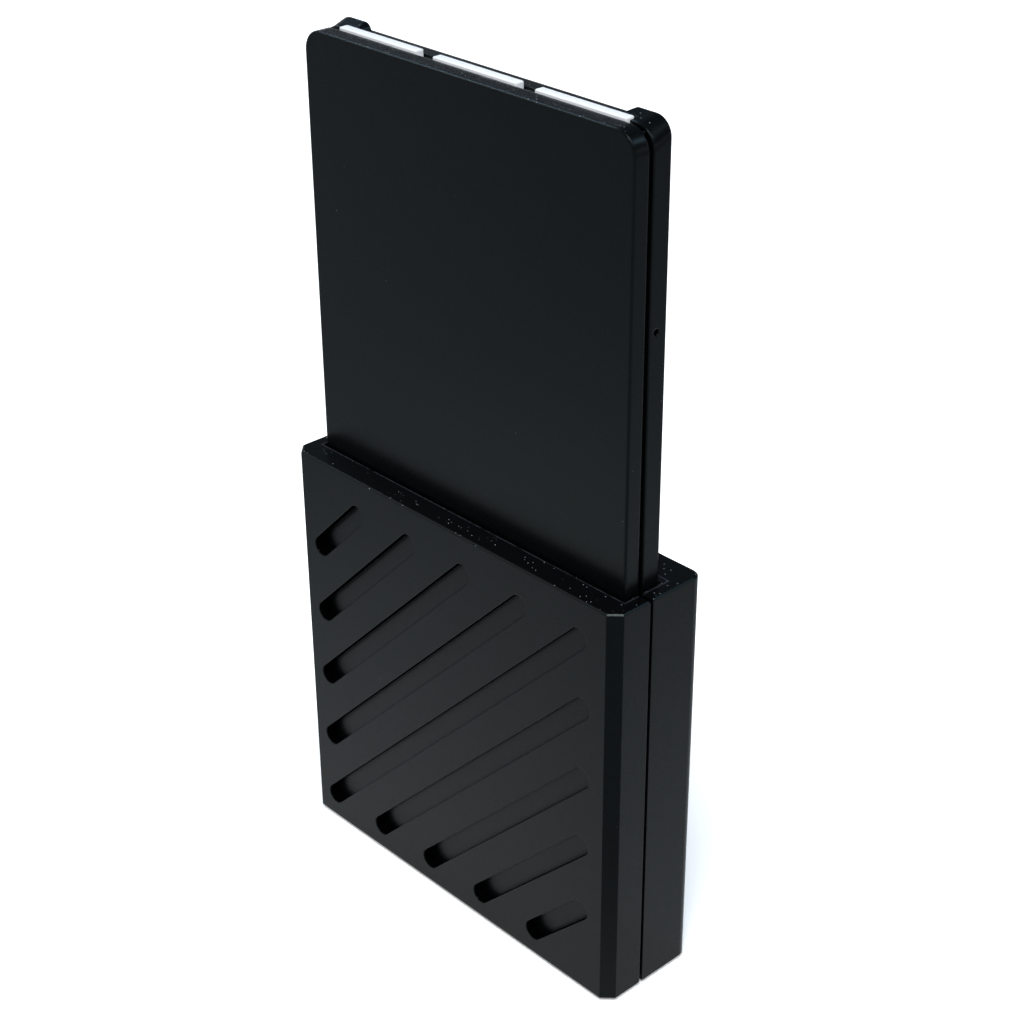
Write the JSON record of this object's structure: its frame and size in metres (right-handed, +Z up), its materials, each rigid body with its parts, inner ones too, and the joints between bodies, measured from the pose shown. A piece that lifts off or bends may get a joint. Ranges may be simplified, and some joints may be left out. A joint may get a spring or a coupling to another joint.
{
  "type": "external hard drive enclosure",
  "caption": "Upright drive enclosure: a slim two-shell drive tray slides down into a thick sleeve with a diagonally grooved front.",
  "frame": {"origin": "on the table, under the middle of the sleeve's footprint, at the underside of the feet", "axes": "+Z up, along the tray's slide; +Y from the grooved front to the rear; +X to the right seen from the front"},
  "size_m": [0.086, 0.0216, 0.166],
  "materials": {
    "black_aluminium": "satin black anodised, fine bead-blasted grain",
    "steel_sheet": "brushed",
    "screw_steel": "dark zinc",
    "spring_steel": "polished strip",
    "glide_plastic": "waxy white, low friction",
    "green_board": "solder mask over glass fibre",
    "chip_plastic": "matt moulded",
    "ceramic": "fired ceramic",
    "socket_plastic": "moulded nylon",
    "plated_steel": "nickel plated",
    "gold_contact": "gold plated",
    "milky_plastic": "milky, light spreading",
    "lamp": "clear over phosphor",
    "ribbon_film": "polyimide film",
    "black_rubber": "matt",
    "pad_rubber": "soft, slightly tacky",
    "clear_film": "thin black film",
    "cast_aluminium": "die cast, bead blasted",
    "machined_aluminium": "machined",
    "mirror_disc": "mirror polished",
    "copper_coil": "varnished copper winding",
    "magnet": "nickel plated magnet",
    "white_plastic": "moulded"
  },
  "bodies": {
    "sleeve": {"board_screws": "screw_steel", "bridge_board": "green_board", "bridge_chip": "chip_plastic", "capacitors": "ceramic", "contact_block": "socket_plastic", "contact_pins": "gold_contact", "cover_screws": "screw_steel", "crystal": "plated_steel", "detent_spring": "spring_steel", "drive_socket": "socket_plastic", "feet": "black_rubber", "flash_chip": "chip_plastic", "front_cover": "black_aluminium", "glide_strip_left": "glide_plastic", "glide_strip_right": "glide_plastic", "guide_plate": "steel_sheet", "guide_screws": "screw_steel", "inductor": "chip_plastic", "rear_cover": "black_aluminium", "usb_shell": "plated_steel", "usb_tongue": "socket_plastic"},
    "tray": {"tray_front_shell": "black_aluminium", "tray_rear_shell": "black_aluminium", "shell_screws": "screw_steel", "light_bar_left": "milky_plastic", "light_bar_middle": "milky_plastic", "light_bar_right": "milky_plastic", "light_board": "green_board", "lamps": "lamp", "contact_pads": "gold_contact", "light_ribbon": "ribbon_film", "drive_rail_left": "black_rubber", "drive_rail_right": "black_rubber", "thermal_pad": "pad_rubber", "insulating_sheet": "clear_film", "drive_base": "cast_aluminium", "drive_cover": "steel_sheet", "drive_screws": "screw_steel", "drive_board": "green_board", "drive_plug": "socket_plastic", "magnets": "magnet", "head_ramp": "white_plastic"},
    "disc_pack": {"platter": "mirror_disc", "spindle_hub": "machined_aluminium", "disc_clamp": "machined_aluminium"},
    "head_stack": {"head_arm": "machined_aluminium", "voice_coil": "copper_coil"}
  },
  "joints": [
    {"name": "tray_slide", "type": "slide", "parent": "sleeve", "child": "tray", "axis": [0, 0, 1], "range_m": [-0.052, 0]},
    {"name": "disc_spin", "type": "hinge", "parent": "tray", "child": "disc_pack", "pos_m": [0, -0.00185, 0.12627], "axis": [0, 1, 0], "continuous": true},
    {"name": "arm_swing", "type": "hinge", "parent": "tray", "child": "head_stack", "pos_m": [0.018, -0.00185, 0.0845], "axis": [0, 1, 0], "range_deg": [0, 32]}
  ]
}
